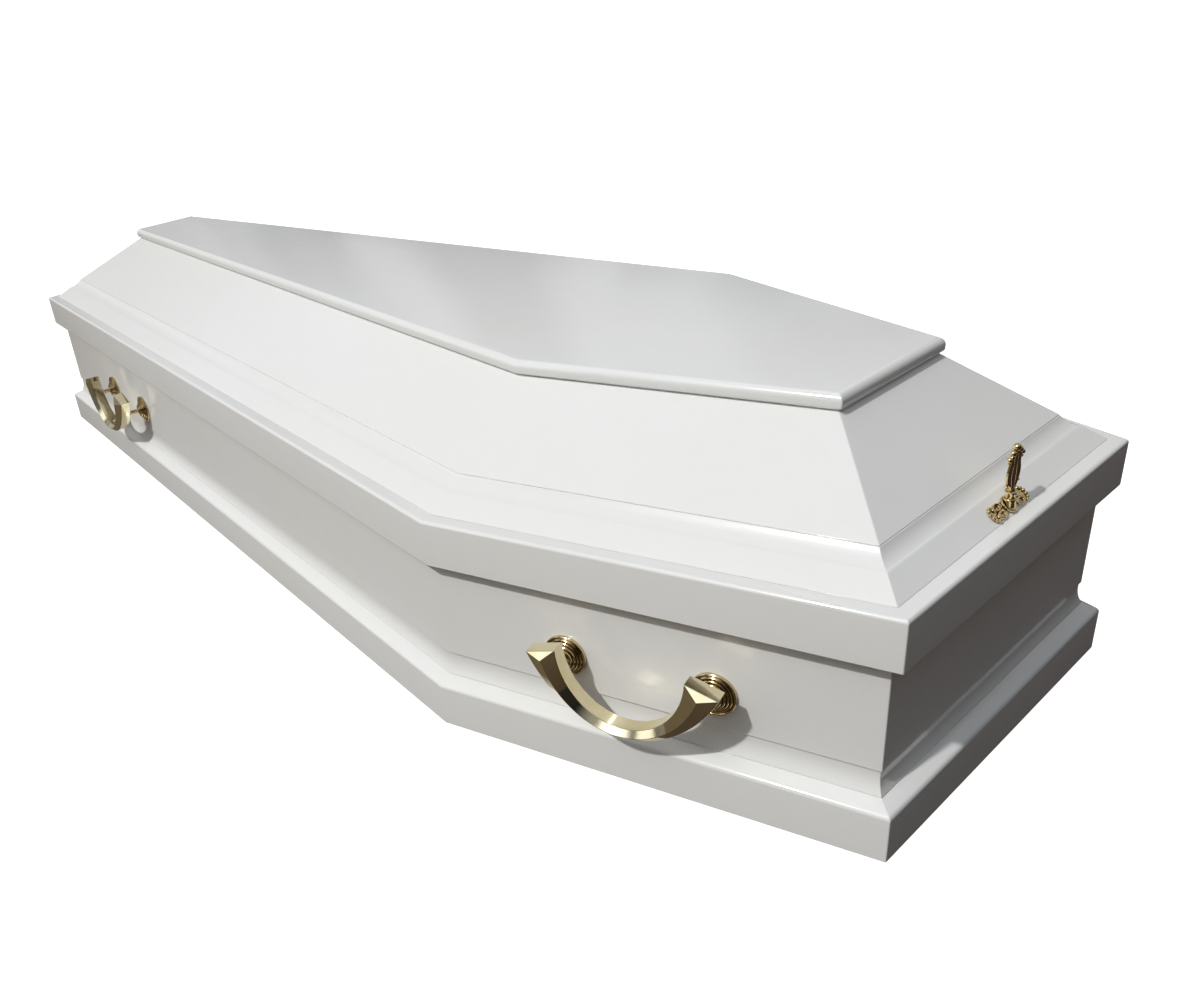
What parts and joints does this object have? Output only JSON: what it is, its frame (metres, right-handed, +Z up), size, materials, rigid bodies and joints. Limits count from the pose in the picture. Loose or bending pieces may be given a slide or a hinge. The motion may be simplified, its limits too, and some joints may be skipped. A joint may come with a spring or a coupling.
{
  "type": "coffin",
  "caption": "Six-sided lidded coffin with plinth and rim mouldings, a hipped lid with a raised panel, bail handles on its sides and lid screws at its ends.",
  "frame": {"origin": "on the floor under the middle of the coffin's box", "axes": "+X along the length towards the head end, +Y to the far side, +Z up"},
  "size_m": [1.96, 0.7636, 0.4053],
  "materials": {
    "white_lacquer": "high-gloss white lacquer",
    "bottom_board": "satin white paint",
    "cast_brass": "polished cast brass",
    "turned_brass": "polished pressed brass",
    "pierced_brass": "cast brass, darker in its recesses"
  },
  "bodies": {
    "root": {"base_cove_far_leg": "white_lacquer", "base_cove_far_shoulder": "white_lacquer", "base_cove_foot": "white_lacquer", "base_cove_head": "white_lacquer", "base_cove_near_leg": "white_lacquer", "base_cove_near_shoulder": "white_lacquer", "body_board_far_leg": "white_lacquer", "body_board_far_shoulder": "white_lacquer", "body_board_foot": "white_lacquer", "body_board_head": "white_lacquer", "body_board_near_leg": "white_lacquer", "body_board_near_shoulder": "white_lacquer", "bottom_board": "bottom_board", "handle_far_foot_bail": "cast_brass", "handle_far_foot_rosette_left": "turned_brass", "handle_far_foot_rosette_right": "turned_brass", "handle_far_head_bail": "cast_brass", "handle_far_head_rosette_left": "turned_brass", "handle_far_head_rosette_right": "turned_brass", "handle_near_foot_bail": "cast_brass", "handle_near_foot_rosette_left": "turned_brass", "handle_near_foot_rosette_right": "turned_brass", "handle_near_head_bail": "cast_brass", "handle_near_head_rosette_left": "turned_brass", "handle_near_head_rosette_right": "turned_brass", "lid_cove_far_leg": "white_lacquer", "lid_cove_far_shoulder": "white_lacquer", "lid_cove_foot": "white_lacquer", "lid_cove_head": "white_lacquer", "lid_cove_near_leg": "white_lacquer", "lid_cove_near_shoulder": "white_lacquer", "lid_panel": "white_lacquer", "lid_rim_far_leg": "white_lacquer", "lid_rim_far_shoulder": "white_lacquer", "lid_rim_foot": "white_lacquer", "lid_rim_head": "white_lacquer", "lid_rim_near_leg": "white_lacquer", "lid_rim_near_shoulder": "white_lacquer", "lid_slope_far_leg": "white_lacquer", "lid_slope_far_shoulder": "white_lacquer", "lid_slope_foot": "white_lacquer", "lid_slope_head": "white_lacquer", "lid_slope_near_leg": "white_lacquer", "lid_slope_near_shoulder": "white_lacquer", "plinth_far_leg": "white_lacquer", "plinth_far_shoulder": "white_lacquer", "plinth_foot": "white_lacquer", "plinth_head": "white_lacquer", "plinth_near_leg": "white_lacquer", "plinth_near_shoulder": "white_lacquer", "screw_plate_foot": "pierced_brass", "screw_plate_head": "pierced_brass", "thumb_screw_foot": "pierced_brass", "thumb_screw_head": "pierced_brass"}
  },
  "joints": []
}
